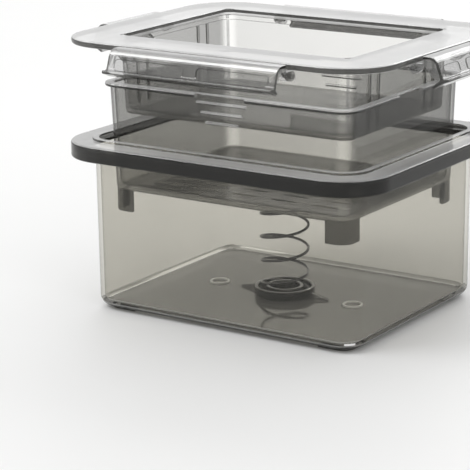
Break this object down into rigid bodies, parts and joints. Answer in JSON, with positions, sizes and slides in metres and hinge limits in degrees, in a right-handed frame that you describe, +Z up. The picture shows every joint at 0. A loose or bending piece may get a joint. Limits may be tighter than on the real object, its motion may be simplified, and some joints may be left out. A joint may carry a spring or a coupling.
{
  "type": "tofu press",
  "caption": "Spring-loaded tofu press: see-through box with a slotted basket on a coil spring, and a lid with a sunken press tray and hinged latches.",
  "frame": {"origin": "centre of the footprint, on the ground under the four corner feet", "axes": "+Z up, +X along the long side, -Y towards the front, where the long latch nearest the viewer is"},
  "size_m": [0.199, 0.165, 0.1315],
  "materials": {
    "smoke_plastic": "clear smoke grey, polished",
    "latch_plastic": "clear smoke grey, polished",
    "dark_plastic": "dark smoke grey",
    "spring_steel": "bright drawn wire"
  },
  "bodies": {
    "container": {"outer_container": "smoke_plastic", "spring_seat": "dark_plastic"},
    "spring": {"spring": "spring_steel"},
    "basket": {"basket": "smoke_plastic"},
    "lid": {"press_tray": "smoke_plastic", "lid_frame": "smoke_plastic", "pin_front_left": "dark_plastic", "pin_front_right": "dark_plastic", "pin_back_left": "dark_plastic", "pin_back_right": "dark_plastic", "pin_left_front": "dark_plastic", "pin_left_back": "dark_plastic", "pin_right_front": "dark_plastic", "pin_right_back": "dark_plastic"},
    "latch_front": {"latch_front": "latch_plastic"},
    "latch_back": {"latch_back": "latch_plastic"},
    "latch_left": {"latch_left": "latch_plastic"},
    "latch_right": {"latch_right": "latch_plastic"}
  },
  "joints": [
    {"name": "spring_push", "type": "slide", "parent": "container", "child": "spring", "axis": [0, 0, 1], "range_m": [-0.03, 0], "stiffness_N_per_m": 940, "springref_m": 0.0065, "deforming": ["spring"]},
    {"name": "basket_lift", "type": "slide", "parent": "spring", "child": "basket", "axis": [0, 0, 1], "range_m": [0, 0.09]},
    {"name": "lid_press", "type": "slide", "parent": "basket", "child": "lid", "axis": [0, 0, 1], "range_m": [-0.009, 0.06]},
    {"name": "front_latch_turn", "type": "hinge", "parent": "lid", "child": "latch_front", "pos_m": [0, -0.064, 0.1251], "axis": [1, 0, 0], "range_deg": [0, 40]},
    {"name": "back_latch_turn", "type": "hinge", "parent": "lid", "child": "latch_back", "pos_m": [0, 0.064, 0.1251], "axis": [-1, 0, 0], "range_deg": [0, 40]},
    {"name": "left_latch_turn", "type": "hinge", "parent": "lid", "child": "latch_left", "pos_m": [-0.081, 0, 0.1251], "axis": [0, -1, 0], "range_deg": [0, 40]},
    {"name": "right_latch_turn", "type": "hinge", "parent": "lid", "child": "latch_right", "pos_m": [0.081, 0, 0.1251], "axis": [0, 1, 0], "range_deg": [0, 40]}
  ]
}
